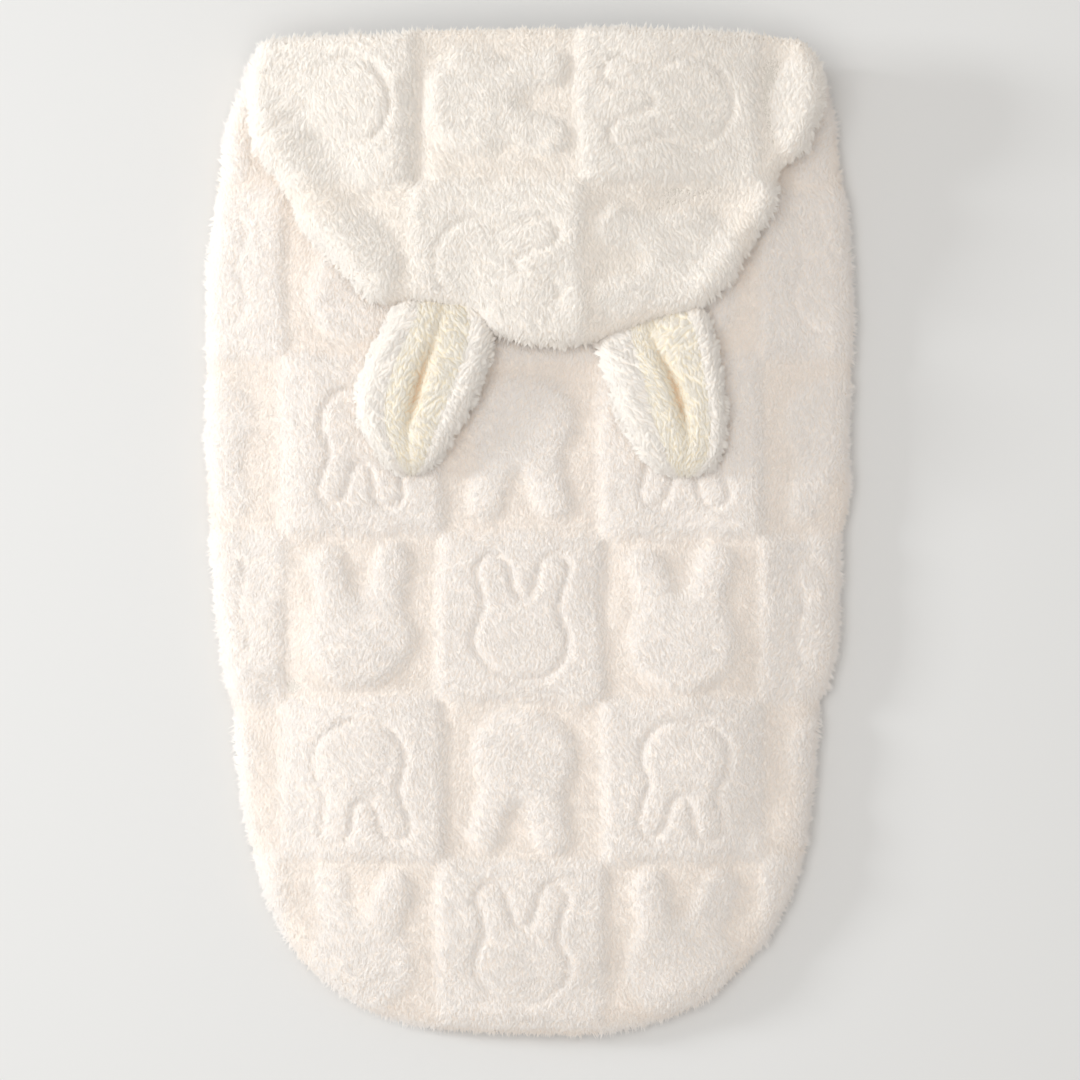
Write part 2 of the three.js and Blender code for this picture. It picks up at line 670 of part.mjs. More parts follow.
// ---- The pieces ----------------------------------------------------------------------------
const leftRim = splinePoints(LEFT_SIDE, SIDE_STEPS);
const toeRim = splinePoints(TOE, TOE_STEPS);
const rightRim = splinePoints(RIGHT_SIDE, SIDE_STEPS);
const bagRim = [...leftRim, ...toeRim.slice(1), ...rightRim.slice(1)];
const leftWaist = SIDE_STEPS;
const rightWaist = SIDE_STEPS + TOE_STEPS;
const bagNormals = rimNormals(bagRim, [0, leftWaist, rightWaist, bagRim.length - 1]);
const bagTop = insetPoints(bagRim, bagNormals, EDGE + BAG.rollAcross);
const neckLine = Array.from({ length: NECK_STEPS - 1 }, (_, i) => new THREE.Vector2(
  lerp(bagTop.at(-1).x, bagTop[0].x, (i + 1) / NECK_STEPS),
  BAG.neck,
));
const bagLoop = [...bagTop, ...neckLine];
const backForm = {
  rim: bagRim,
  normals: bagNormals,
  neck: neckLine,
  puffAt: (x, y) => BAG.puff * smoothstep(distanceToLoop(bagLoop, x, y), 0, 90)
    * smoothstep(-y, -BAG.puffFrom, -BAG.puffFull),
  // Above the top row of squares that shows, the hood covers all but the sides.
  keepRow: (y, i) => y < 230 || i % 3 === 0,
};

const hoodRim = splinePoints(HOOD_SIDES, HOOD_STEPS);
const hoodNormals = rimNormals(hoodRim, [0, HOOD_STEPS]);
const hoodTop = insetPoints(hoodRim, hoodNormals, EDGE + HOOD.rollAcross);
const hoodFace = splinePoints(HOOD_FACE, NECK_STEPS).slice(1, -1)
  .filter(({ x }) => x < hoodTop.at(-1).x - 3 && x > hoodTop[0].x + 3);
const hoodLoop = [...hoodTop, ...hoodFace];
const hoodForm = {
  rim: hoodRim,
  normals: hoodNormals,
  neck: hoodFace,
  puffAt: (x, y) => HOOD.puff * smoothstep(distanceToLoop(hoodLoop, x, y), 0, 60),
  keepRow: () => true,
};

const bagSeam = insetPoints(bagRim, bagNormals, BAG.seamIn + GAP);
const hoodSeam = insetPoints(hoodRim, hoodNormals, HOOD.seamIn + GAP);

/** A front wing, from its side seam to its free edge past the middle. */
function wing(name, seam, freeEdge, lift) {
  const side = Math.sign(seam[0].x);
  const rows = seam.map((point) => {
    const dip = NECK_DIP * smoothstep(point.y, 200, BAG.neck);
    const foldX = side * (WING_LAP + WING_STEP + GAP);
    const columns = [point.x, (point.x + foldX) / 2, foldX, foldX - side * WING_STEP, freeEdge];
    return columns.map((x, i) => ({
      x,
      y: Math.max(point.y, BAG.waist + GAP) - dip * (x - point.x) / (freeEdge - point.x),
      z: i > 2 ? lift : 0,
    }));
  });
  return rowPanel(name, PLUSH, rows, WALL);
}

export function bunting() {
  const group = new THREE.Group();
  const pouchOutline = bagSeam.slice(leftWaist, rightWaist + 1);
  const hoodUnder = hoodSeam.map(({ x, y }) => new THREE.Vector2(x, Math.min(y, BAG.neck)));
  group.add(
    embossedWall('back', PLUSH, backForm, BAG, BACK_PATTERN, BACK_FOLDS),
    wing('wing_left', bagSeam.slice(0, leftWaist + 1), WING_LAP, 0),
    wing('wing_right', bagSeam.slice(rightWaist), -WING_LAP, WALL + GAP),
    flatPanel('pouch', PLUSH, pouchOutline, 0, WALL),
    embossedWall('hood_top', HOOD_PLUSH, hoodForm, HOOD, HOOD_PATTERN, HOOD_FOLDS),
    flatPanel('hood_under', HOOD_PLUSH, hoodUnder, HOOD.bottom, WALL),
    earOutside('ear_left_outer', LEFT_EAR),
    earLining('ear_left_inner', LEFT_EAR),
    earOutside('ear_right_outer', RIGHT_EAR),
    earLining('ear_right_inner', RIGHT_EAR),
  );
  return group;
}

export default bunting();
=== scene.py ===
"""Looks of the baby bunting bag: fine plush shells, their pile, the ears, the floor and the light.

Sizes are in millimetres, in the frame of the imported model, until a mesh is made in metres.
"""

import math

import bmesh
import bpy
import numpy as np
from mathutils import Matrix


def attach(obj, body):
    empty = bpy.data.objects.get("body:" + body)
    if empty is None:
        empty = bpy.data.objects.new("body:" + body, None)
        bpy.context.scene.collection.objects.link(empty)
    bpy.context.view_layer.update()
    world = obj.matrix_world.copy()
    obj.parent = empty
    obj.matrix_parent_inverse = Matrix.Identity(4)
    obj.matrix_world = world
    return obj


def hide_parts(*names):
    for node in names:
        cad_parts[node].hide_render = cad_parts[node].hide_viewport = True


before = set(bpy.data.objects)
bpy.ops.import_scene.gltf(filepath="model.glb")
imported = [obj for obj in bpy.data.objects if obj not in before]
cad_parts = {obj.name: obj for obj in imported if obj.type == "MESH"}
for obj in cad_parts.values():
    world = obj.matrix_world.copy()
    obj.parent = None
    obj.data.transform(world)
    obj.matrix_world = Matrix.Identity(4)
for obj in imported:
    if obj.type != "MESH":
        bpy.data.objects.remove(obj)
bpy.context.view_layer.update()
MM = 0.001
TAU = 2 * math.pi
UP = np.array([0, 0, 1.0])

# ---- Sizes of the walls and their embossing ----------------------------------------------------
WALL = 5.0  # the wall where the pile is pressed low
PILE = 3.4  # rise of the high pile over the low pile
SLOPE = 5.4  # half the width of the slope between the two
GROOVE = 2.1  # depth of the line pressed round a rabbit on high pile
GROOVE_HALF = 4.2
DOME = 0.25  # how much higher the middle of a high form is, as a share of PILE
RABBIT_DOME, SQUARE_DOME = 20, 36  # how far in from its edge a form is that high
EDGE = 2.0  # how far the outline seen from above lies outside the roll at the rim

# A wall's lowest height is bottom. Its rim rolls down as half an ellipse with the half axes
# across and up, and its cloth turns under by seam_in. Inside the rim the bag rises by shoulder,
# and towards the middle each wall rises by puff. The bag's open edge is at neck.
BAG = dict(bottom=0.0, across=18.0, up=11.0, seam_in=26.0, shoulder=10.0, puff=3.0, neck=313.0)
HOOD = dict(bottom=36.3, across=11.0, up=9.5, seam_in=14.0, puff=12.0)

# Outlines seen from above: from the left end of the neck down, round, and up to the right end.
BAG_RIM = [
    (-184, 313), (-194, 286), (-200, 266), (-205, 234), (-209.5, 195), (-211.5, 156),
    (-212.5, 91), (-211.5, 39), (-210, 0), (-206.5, -39), (-203, -75), (-200, -97),
    (-197, -104), (-194.5, -113), (-193, -135), (-190, -162), (-185, -192), (-177.5, -221),
    (-167.5, -247), (-154, -272), (-137, -289), (-115, -305), (-84, -317), (-52, -322),
    (8, -325.5), (46, -324.5), (81, -317), (110, -305), (138, -283), (159, -257), (173, -228),
    (180, -205), (183.5, -179), (188, -146), (190, -112), (192.5, -104), (196, -93),
    (202, -65), (203.5, -32), (205, 0), (209, 26), (210, 71), (212, 123), (211.5, 156),
    (209.5, 214), (206, 234), (203, 260), (198, 287), (189, 313),
]
HOOD_RIM = [
    (-177, 314), (-182, 292), (-179, 268), (-173, 248), (-163, 238), (-155, 222), (-144, 200),
    (-126, 183), (-111, 166), (-96, 157), (-58, 151), (-35, 144), (-24, 133), (-2, 126),
    (20, 124), (46, 129), (78, 140), (107, 148), (118, 158), (135, 176), (146, 195),
    (156, 214), (162, 234), (168, 243), (177, 251), (184, 266), (189, 282), (189, 300),
    (184, 314),
]
# The hood's face edge, from left to right.
HOOD_FACE = [
    (-182, 312), (-177, 316), (-170, 320), (-130, 322), (-88, 322), (-73, 325), (-13, 326),
    (58, 326), (110, 325), (149, 324), (174, 321), (184, 315), (189, 312),
]

# Where the squares' edges run, which squares are low with a raised rabbit, the even ones (0) or
# the odd ones (1), and whether the rabbits lie on their sides.
BACK_PATTERN = dict(
    columns=[-265, -161, -58, 47, 149.5, 253],
    rows=[336, 227.5, 119, 3, -104, -208, -316],
    raised_when=0,
    turned=False,
)
HOOD_PATTERN = dict(
    columns=[-183, -75, 33, 146, 254],
    rows=[332, 229, 126, 23],
    raised_when=1,
    turned=True,
)
# A rabbit's head from the front: an ellipse, drop below the middle, and two round-ended ears.
RABBIT = dict(head_across=33, head_up=29, drop=16, ear=10.3, root=(14, 5), tip=(22, 35), blend=8)
DRAWN_SCALE = 0.88  # a grooved rabbit is this much of a raised one

# Soft folds, from one point to another: half width and rise.
BACK_FOLDS = [
    ((-166, -98), (-60, -104), 9, -3.0),
    ((-158, -48), (-156, -92), 8, -2.5),
    ((47, 0), (45, -45), 8, -2.0),
    ((120, -104), (186, -106), 8, -2.5),
    ((-178, 150), (-172, 215), 12, 2.0),
    ((150, -215), (168, -180), 10, 2.5),
]
HOOD_FOLDS = [
    ((-170, 264), (-94, 160), 13, 4.5),
    ((-132, 254), (-84, 180), 12, -1.2),
    ((-73, 290), (-73, 236), 8, -4.0),
    ((34, 150), (34, 215), 9, 2.5),
    ((95, 205), (125, 300), 34, -4.5),
    ((159, 306), (160, 246), 11, -2.6),
    ((181, 292), (180, 262), 12, 0.5),
    ((116, 164), (152, 218), 9, 3.5),
    ((-20, 148), (30, 144), 12, 3.0),
]

# ---- Sizes of the ears and the panels ----------------------------------------------------------
# Ears, from the root at the crown to the tip: left edge, right edge, crease, height.
LEFT_EAR = [
    ((-84, 160), (-34, 156), (-56, 160), 12),
    ((-88, 148), (-25, 142), (-57, 147), 19),
    ((-97, 132), (-25, 124), (-62, 130), 23),
    ((-106, 112), (-30, 106), (-69, 109), 24),
    ((-111, 92), (-37, 90), (-74, 92), 23),
    ((-109, 76), (-45, 76), (-78, 77), 21),
    ((-102, 62), (-53, 63), (-79, 63), 18),
    ((-94, 51), (-60, 52), (-78, 52), 14),
    ((-86, 43.5), (-68, 44), (-77, 44), 8),
]
RIGHT_EAR = [
    ((50, 138), (104, 158), (74, 148), 9),
    ((44.5, 127), (114, 145), (76, 136), 16),
    ((47.5, 113), (119, 128), (83, 121), 22),
    ((52.5, 97), (123, 107), (92, 103), 23),
    ((57, 81), (125.5, 87), (98, 86), 22),
    ((64, 69), (125.5, 71), (101, 71), 20),
    ((70.5, 58), (123.5, 58), (102, 58), 17),
    ((78.5, 49), (119, 49), (100, 49), 12),
    ((88, 42.5), (111, 43), (99.5, 43), 8),
]
# The lining's two edges, in half widths of the ear.
LEFT_LIPS = (-0.54, 0.6)
RIGHT_LIPS = (-0.42, 0.74)
# The outside of an ear in section. The rim goes from the lining's edge (0) to the side (1).
EAR_RIM = [(0, 0.91), (0.35, 0.94), (0.65, 0.92), (0.9, 0.76)]
EAR_UNDER = [(1, 0.5), (0.95, 0.2), (0.7, 0)]
EAR_ROWS = 44
SHELL_COLUMNS = 56
LINING_COLUMNS = 40
EAR_BED = 1.8  # the ears' cloth lies this far inside their outline, which goes round the pile
LINING_BED = 2.2  # and the lining this far below their height
TIP_FROM, TIP_RUN = 0.86, 0.145  # the share of the ear where it starts to close, and over what
LOBE, LOBE_RISE = 0.92, 0.05  # the lining's height beside the crease, in heights of the ear
CREASE = dict(depth=0.22, half=0.2, shade_half=0.26)
# How deep the crease is from the root to the tip of an ear.
CREASE_RUN = [
    (0, 0.2), (0.2, 0.35), (0.36, 0.8), (0.45, 1), (0.58, 1), (0.7, 0.5), (0.8, 0.2), (1, 0),
]

# Where the panels' open edges run, at the middle of their thickness.
OPEN_EDGES = dict(
    wing_left=[(-166, 313, 2.5), (-96, 304, 2.5), (-36, 295, 2.5), (24, 285.5, 2.5)],
    wing_right=[(-24, 285.5, 7.8), (22, 292, 7.8), (38, 295, 2.7), (96, 304, 2.5), (166, 313, 2.5)],
    hood_under=[(-166, 313, 38.8), (0, 313, 38.8), (173, 313, 38.8)],
)
PANEL_HALF = 2.5  # half the thickness of a panel
OPEN_EDGE_LOW = 0.6  # the pile of an open edge stands no lower than this

# ---- Grids and pile ----------------------------------------------------------------------------
BED = 1.3  # the cloth under the pile lies this far below the pile's tips
GRID = 2.6  # step of the surface that the pile stands on
SHELL_GRID = 4.0  # step of the fine shells
INSIDE_GRID = 8.0
HEM, TURNED_IN = 2.6, 26  # radius of the turn at an open edge, and the cloth turned in past it
HIDDEN = dict(inside=4, below_neck=6, highest=330)  # where the hood hides the back

# Blades in each piece: under 200,000 in a piece, and under 1,000,000 triangles in all.
BLADES = dict(back=181000, hood=125000, ear_shell=27000, ear_lining=21000, open_edge=6500)
PILE_LONG = 3.2
LOW_LONG, LOW_SHADE_TONE = 0.75, 0.45  # length of the pile where it is pressed low, and its tone of painted shade there
PILE_FROM = 3.5  # no pile grows nearer than this to what a wall lies on
ROOT_TONE, TIP_TONE = 0.3, 0.8  # where the colours of a blade's root and tip lie in a material; the darker root is painted shade

# Tufts, and which way they point.
CLUMP = 2.7  # mean distance between them
TUFT_LONG = 1.6
TUFT_WIDE = 0.8
DRIFT, DRIFT_SIZE = 0.7, 24  # neighbours turn together by up to DRIFT radians
SCATTER = 1.1  # and each by itself within this range of radians

# Blades. Lengths are shares of the pile's length, and leans are shares of a blade's own length.
TUFT_LEAST, TUFT_MORE = 0.8, 0.35  # length in the smallest tufts, and what the largest add
SHORTEST, LONGEST = 0.8, 1.15  # range of a blade's own share
RIM_LONGER = 1.1  # how much longer the largest tufts are at a rim
LEAN, LEAN_SPREAD, LEAN_REACH = 1.3, 0.1, 0.7
GATHER = 0.6  # how far a blade leans towards the line of its tuft
SWAY = 0.22  # mm to either side
FLATTEST = 0.93  # the most of a blade that lies along the cloth
THINNEST, WIDEST = 0.35, 0.6  # half widths at the root, for a width of 1
LOWEST_TIP = 0.3  # over the floor
HANGING = 0.9  # the share of blades that turn down where they would point up on a side


# ---- Small maths -------------------------------------------------------------------------------
def smoothstep(x, low, high):
    t = np.clip((x - low) / (high - low), 0, 1)
    return t * t * (3 - 2 * t)


def unit(vectors):
    return vectors / np.maximum(np.linalg.norm(vectors, axis=-1, keepdims=True), 1e-9)


def lattice(i, j, seed):
    """A fixed value from 0 to 1 for each whole-numbered place."""
    mixed = i.astype(np.int64) * 374761393 + j.astype(np.int64) * 668265263 + seed * 982451653
    mixed = (mixed ^ (mixed >> 13)) * 1274126177 & 0x7FFFFFFF
    return ((mixed ^ (mixed >> 16)) & 0xFFFF) / 65535.0


def noise(u, v, size, seed):
    """Smooth noise from -1 to 1 with features of the given size."""
    x, y = u / size, v / size
    i, j = np.floor(x), np.floor(y)
    s, t = smoothstep(x - i, 0, 1), smoothstep(y - j, 0, 1)
    low = lattice(i, j, seed) * (1 - s) + lattice(i + 1, j, seed) * s
    high = lattice(i, j + 1, seed) * (1 - s) + lattice(i + 1, j + 1, seed) * s
    return 2 * (low * (1 - t) + high * t) - 1


def spline(table, count):
    """Points at even steps of arc along a smooth curve through the table's rows."""
    points = np.array(table, float)
    before, after = 2 * points[0] - points[1], 2 * points[-1] - points[-2]
    padded = np.vstack([before, points, after])
    t = np.linspace(0, 1, 24, endpoint=False)[:, None]
    parts = []
    for a, b, c, d in zip(padded, padded[1:], padded[2:], padded[3:]):
        parts.append(
            b + t / 2 * (c - a + t * (2 * a - 5 * b + 4 * c - d + t * (3 * (b - c) + d - a)))
        )
    dense = np.vstack(parts + [points[-1:]])
    arc = np.concatenate([[0], np.cumsum(np.linalg.norm(np.diff(dense, axis=0), axis=1))])
    even = np.linspace(0, arc[-1], count)
    return np.stack([np.interp(even, arc, column) for column in dense.T], axis=1)


def capsule_distance(p, q, a, b, radius):
    (ax, ay), (bx, by) = a, b
    along = (p - ax) * (bx - ax) + (q - ay) * (by - ay)
    t = np.clip(along / ((bx - ax) ** 2 + (by - ay) ** 2), 0, 1)
    return np.hypot(p - ax - t * (bx - ax), q - ay - t * (by - ay)) - radius


def grid_normals(points, up=None):
    """Unit normals of a grid of points, towards up, a direction or a grid of them."""
    normals = unit(np.cross(np.gradient(points, axis=1), np.gradient(points, axis=0)))
    if up is not None:
        normals *= np.where((normals * up).sum(axis=-1, keepdims=True) < 0, -1, 1)
    return normals


def wall_normals(points):
    """Unit normals of a wall's grid, on the side that faces up at its middle."""
    normals = grid_normals(points)
    return normals * np.sign(normals[points.shape[0] // 2, points.shape[1] // 2, 2])


def quad_weight(values):
    """Mean of a grid's values over each of its squares."""
    return (values[:-1, :-1] + values[1:, :-1] + values[:-1, 1:] + values[1:, 1:]) / 4


def all_squares(points):
    return np.ones((points.shape[0] - 1, points.shape[1] - 1), bool)


# ---- Embossed pattern --------------------------------------------------------------------------
def rabbit_distance(p, q, scale):
    """Signed distance to a rabbit's outline, negative inside."""
    side, up = np.abs(p) / scale, q / scale
    r = RABBIT
    head = (np.hypot(side / r["head_across"], (up + r["drop"]) / r["head_up"]) - 1) * r["head_up"]
    ear = capsule_distance(side, up, r["root"], r["tip"], r["ear"])
    near = np.maximum(r["blend"] - np.abs(head - ear), 0) / r["blend"]
    return scale * (np.minimum(head, ear) - near * near * r["blend"] / 4)


def pile_height(pattern, u, v):
    """Height of the pile over the low pile at unrolled places of the cloth."""
    # Nothing pressed in soft pile is quite straight, nor quite like its neighbour.
    u = u + 2.2 * noise(u, v, 47, 3) + 0.9 * noise(u, v, 13, 5)
    v = v + 2.2 * noise(u, v, 43, 4) + 0.9 * noise(u, v, 11, 6)
    columns, rows = np.array(pattern["columns"]), np.array(pattern["rows"])
    column = np.clip(np.searchsorted(columns, u, side="right") - 1, 0, len(columns) - 2)
    row = np.clip(len(rows) - 1 - np.searchsorted(rows[::-1], v, side="right"), 0, len(rows) - 2)
    across = u - (columns[column] + columns[column + 1]) / 2
    along = v - (rows[row] + rows[row + 1]) / 2
    raised = (column + row) % 2 == pattern["raised_when"]
    turn = lattice(column, row, 17) * 0.16 - 0.08
    if pattern["turned"]:
        p, q = along, across * np.where(column % 2, 1, -1)
    else:
        p, q = across, along * np.where(row % 2, 1, -1)
    p, q = p * np.cos(turn) - q * np.sin(turn), p * np.sin(turn) + q * np.cos(turn)
    scale = np.where(raised, 1, DRAWN_SCALE) * (0.97 + 0.06 * lattice(column, row, 23))
    to_rabbit = rabbit_distance(p, q, scale)
    to_edge = np.minimum(
        np.minimum(u - columns[column], columns[column + 1] - u),
        np.minimum(rows[row] - v, v - rows[row + 1]),
    )
    low_square = np.maximum(
        smoothstep(-to_edge, -SLOPE, SLOPE),
        smoothstep(-to_rabbit, -SLOPE, SLOPE) + DOME * smoothstep(-to_rabbit, 0, RABBIT_DOME),
    )
    groove = 1 - smoothstep(np.abs(to_rabbit), 0, GROOVE_HALF)
    high_square = smoothstep(to_edge, -SLOPE, SLOPE) - GROOVE / PILE * groove
    high_square += DOME * smoothstep(to_edge, 0, SQUARE_DOME)
    return PILE * np.where(raised, low_square, high_square)


def fold_height(folds, u, v):
    """Rise of the cloth's folds, and of the slight unevenness between them."""
    rise = 0.8 * noise(u, v, 34, 11) + 0.5 * noise(u, v, 15, 12)
    for start, end, half, most in folds:
        distance = capsule_distance(u, v, start, end, 0)
        rise += most * (1 - smoothstep(distance, 0, 2 * half))
    return rise


# ---- Walls that lie flat and roll down at the rim ----------------------------------------------
RIM_POINTS = 420
PAST_EDGE = 130  # the rim's line goes straight on past the open edge by this much
SMOOTHINGS = 3  # passes that round off the rim's normals
BATCH = 6000  # places handled at a time, to save memory
FAR = 1e12  # a squared distance that is never the least
FADE_UNDER = 55  # degrees under the roll's side over which embossing and folds fade out
FLATTER_RIM = dict(share=0.5, within=60)  # the embossing is lower near the rim
FLATTER_ROLL = dict(share=0.3, start=0.3, end=1.4)  # and on the roll, between these angles
SLANT_FROM, SLANT_TO = 110, 10  # between these distances the grid's rows bend to the open edge


class Wall:
    """The outside of the back or the hood, as a surface over its unrolled cloth."""

    def __init__(self, rim, size, edge_line, pattern, folds, puff, round_off):
        self.size, self.pattern, self.folds, self.puff = size, pattern, folds, puff
        self.edge_line = edge_line
        points = spline(rim, RIM_POINTS)
        spacing = np.linalg.norm(np.diff(points, axis=0), axis=1).mean()
        ahead = np.gradient(points, axis=0)
        normals = unit(np.stack([ahead[:, 1], -ahead[:, 0]], axis=1))
        above = int(PAST_EDGE / spacing)
        side = np.sign(points[[0, -1], :1]) * [[1, 0]]
        normals = np.vstack([side[:1].repeat(above, 0), normals, side[1:].repeat(above, 0)])
        kernel = np.ones(2 * int(round_off / spacing / SMOOTHINGS) + 1)
        kernel /= kernel.sum()
        reach = len(kernel) // 2
        for _ in range(SMOOTHINGS):
            padded = np.pad(normals, ((reach, reach), (0, 0)), mode="edge")
            smooth = [np.convolve(column, kernel, "valid") for column in padded.T]
            normals = unit(np.stack(smooth, axis=1))
        rise = np.arange(above, 0, -1)[:, None] * [[0, spacing]]
        ends = np.vstack([points[:1] + rise, points, points[-1:] + rise[::-1]])
        self.loop = ends - normals * (EDGE + size["across"])
        self.normals = normals
        self.mean = (size["across"] + size["up"]) / 2
        self.reach = math.pi * self.mean + size["seam_in"] - EDGE - size["across"]

    def to_loop(self, u, v):
        """Signed distance to the loop where the roll starts, positive inside it, the place on
        the loop, and the direction outwards there."""
        distance, feet, outs = np.empty(u.size), np.empty((u.size, 2)), np.empty((u.size, 2))
        flat = np.stack([u.ravel(), v.ravel()], axis=1)
        loop, normals = self.loop, self.normals
        low, high = loop[:-1], loop[1:]
        for start in range(0, len(flat), BATCH):
            p = flat[start : start + BATCH]
            pick = np.arange(len(p))
            away = p[:, None] - loop[None]
            across = normals[None, :, 0] * away[..., 1] - normals[None, :, 1] * away[..., 0]
            nearest = (away**2).sum(axis=2)
            turns = across[:, :-1] * across[:, 1:] <= 0
            cost = np.where(turns, nearest[:, :-1], FAR)
            best = cost.argmin(axis=1)
            fallback = np.minimum(nearest.argmin(axis=1), len(low) - 1)
            best = np.where(cost[pick, best] < FAR / 10, best, fallback)
            before, after = across[pick, best], across[pick, best + 1]
            t = np.clip(before / np.where(before == after, 1, before - after), 0, 1)[:, None]
            foot = low[best] + t * (high[best] - low[best])
            out = unit(normals[best] + t * (normals[best + 1] - normals[best]))
            feet[start : start + BATCH] = foot
            outs[start : start + BATCH] = out
            distance[start : start + BATCH] = -((p - foot) * out).sum(axis=1)
        shape = u.shape
        return distance.reshape(shape), feet.reshape(shape + (2,)), outs.reshape(shape + (2,))

    def place(self, u, v, depth, hem, plain):
        """Points of the surface at depth under the pile's tips, with the open edge turned in,
        their distance to the loop, and the embossing there."""
        size = self.size
        edge = np.interp(u, *np.array(self.edge_line, float).T) - hem
        over = np.maximum(v - edge, 0)
        v = np.minimum(v, edge)
        distance, foot, out = self.to_loop(u, v)
        outside = np.maximum(-distance, 0)
        angle = np.minimum(outside / self.mean, math.pi)
        rolled = (distance < 0)[..., None]
        out = out * rolled
        sideways = size["across"] * np.sin(angle) - np.maximum(outside - math.pi * self.mean, 0)
        top = size["bottom"] + 2 * size["up"]
        points = np.stack([u, v, np.full_like(u, top)], axis=-1)
        points[..., :2] = np.where(rolled, foot + out * sideways[..., None], points[..., :2])
        points[..., 2] += self.puff(distance, v) - size["up"] * (1 - np.cos(angle))
        normals = np.concatenate(
            [out * np.sin(angle)[..., None], np.cos(angle)[..., None]], axis=-1
        )
        fade = smoothstep(90 - np.degrees(angle), -FADE_UNDER, 0)
        relief = pile_height(self.pattern, u, v) * (not plain)
        rim, roll = FLATTER_RIM, FLATTER_ROLL
        flatter = 1 - rim["share"] * (1 - smoothstep(distance, 0, rim["within"]))
        flatter -= roll["share"] * smoothstep(angle, roll["start"], roll["end"])
        height = (relief * flatter + fold_height(self.folds, u, v)) * fade * (not plain)
        points += normals * (height - depth)[..., None]
        if hem:
            turn = np.minimum(over / hem, math.pi)
            thick = WALL + height - depth
            points -= normals * (thick / 2 * (1 - np.cos(turn)))[..., None]
            points[..., 1] += hem * np.sin(turn) - np.maximum(over - math.pi * hem, 0)
        return points, distance, relief

    def sheet(self, step, depth, hem, turned_in, plain=False):
        """A grid of points, which of its squares are cloth, and the embossing at the points."""
        low = self.loop.min(axis=0) - self.reach - step
        u = np.arange(low[0], self.loop[:, 0].max() + self.reach + step, step)
        edge_low = min(y for _, y in self.edge_line)
        v = np.arange(low[1], edge_low - hem + math.pi * hem + turned_in, step)
        u, v = np.meshgrid(u, v)
        edge = np.interp(u, *np.array(self.edge_line, float).T)
        v = v + (edge - edge_low) * smoothstep(v, edge_low - SLANT_FROM, edge_low - SLANT_TO)
        points, distance, relief = self.place(u, v, depth, hem, plain)
        keep = distance > -self.reach
        squares = keep[:-1, :-1] & keep[1:, :-1] & keep[:-1, 1:] & keep[1:, 1:]
        return points, squares, relief


# ---- Materials ---------------------------------------------------------------------------------
def fibre_material(name, deep, root, tip, speck, sheen, bump):
    """Soft fibre in lighter and darker tufts, paler at its tips than at its roots.
    The darker roots, and the deeper colour in folds and creases, are painted shade.
    """
    material = bpy.data.materials.new(name)
    material.use_nodes = True
    nodes, links = material.node_tree.nodes, material.node_tree.links
    shader = nodes["Principled BSDF"]
    shader.inputs["Roughness"].default_value = 0.95
    shader.inputs["Specular IOR Level"].default_value = 0.15
    shader.inputs["Sheen Weight"].default_value = sheen
    shader.inputs["Sheen Roughness"].default_value = 0.6
    shader.inputs["Sheen Tint"].default_value = (1.0, 0.98, 0.94, 1)
    place = nodes.new("ShaderNodeTexCoord")
    height = nodes.new("ShaderNodeAttribute")
    height.attribute_name = "pile"
    # Ramp: deep colour for painted shade in creases, root colour for painted shade in the pile,
    # then tip colour.
    along = nodes.new("ShaderNodeValToRGB")
    along.color_ramp.elements[0].color = (*deep, 1)
    along.color_ramp.elements[1].color = (*tip, 1)
    along.color_ramp.elements[1].position = TIP_TONE
    along.color_ramp.elements.new(ROOT_TONE).color = (*root, 1)
    tufts = nodes.new("ShaderNodeTexNoise")
    tufts.inputs["Scale"].default_value = 220
    tufts.inputs["Detail"].default_value = 3
    shade = nodes.new("ShaderNodeMix")
    shade.data_type = "RGBA"
    shade.blend_type = "MULTIPLY"
    shade.inputs["B"].default_value = (*speck, 1)
    links.new(place.outputs["Object"], tufts.inputs["Vector"])
    links.new(height.outputs["Fac"], along.inputs["Fac"])
    links.new(along.outputs["Color"], shade.inputs["A"])
    links.new(tufts.outputs["Fac"], shade.inputs["Factor"])
    links.new(shade.outputs["Result"], shader.inputs["Base Color"])
    relief = nodes.new("ShaderNodeBump")
    relief.inputs["Strength"].default_value = bump
    relief.inputs["Distance"].default_value = 0.0006
    links.new(tufts.outputs["Fac"], relief.inputs["Height"])
    links.new(relief.outputs["Normal"], shader.inputs["Normal"])
    return material


# The deep and root colours of the plush materials are painted shade.
PLUSH = fibre_material(
    "plush",
    deep=(0.985, 0.82, 0.68),
    root=(0.99, 0.922, 0.85),
    tip=(0.995, 0.963, 0.932),
    speck=(0.99, 0.985, 0.98),
    sheen=0.2,
    bump=0.3,
)
HOOD_PLUSH = fibre_material(
    "hood_plush",
    deep=(0.985, 0.86, 0.72),
    root=(0.99, 0.932, 0.86),
    tip=(0.995, 0.963, 0.918),
    speck=(0.99, 0.985, 0.978),
    sheen=0.2,
    bump=0.3,
)
# The lining's orange deep colour is painted shade in the ears' creases.
LINING = fibre_material(
    "ear_lining",
    deep=(0.98, 0.68, 0.38),
    root=(0.99, 0.915, 0.755),
    tip=(0.995, 0.965, 0.90),
    speck=(0.99, 0.982, 0.965),
    sheen=0.2,
    bump=0.3,
)
KNIT = fibre_material(
    "knit",
    deep=(0.78, 0.73, 0.67),
    root=(0.80, 0.76, 0.70),
    tip=(0.84, 0.81, 0.76),
    speck=(0.93, 0.91, 0.88),
    sheen=0.1,
    bump=0.5,
)


# ---- Meshes ------------------------------------------------------------------------------------
def new_object(name, mesh, material):
    mesh.materials.append(material)
    piece = bpy.data.objects.new(name, mesh)
    bpy.context.scene.collection.objects.link(piece)
    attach(piece, "root")
    return piece


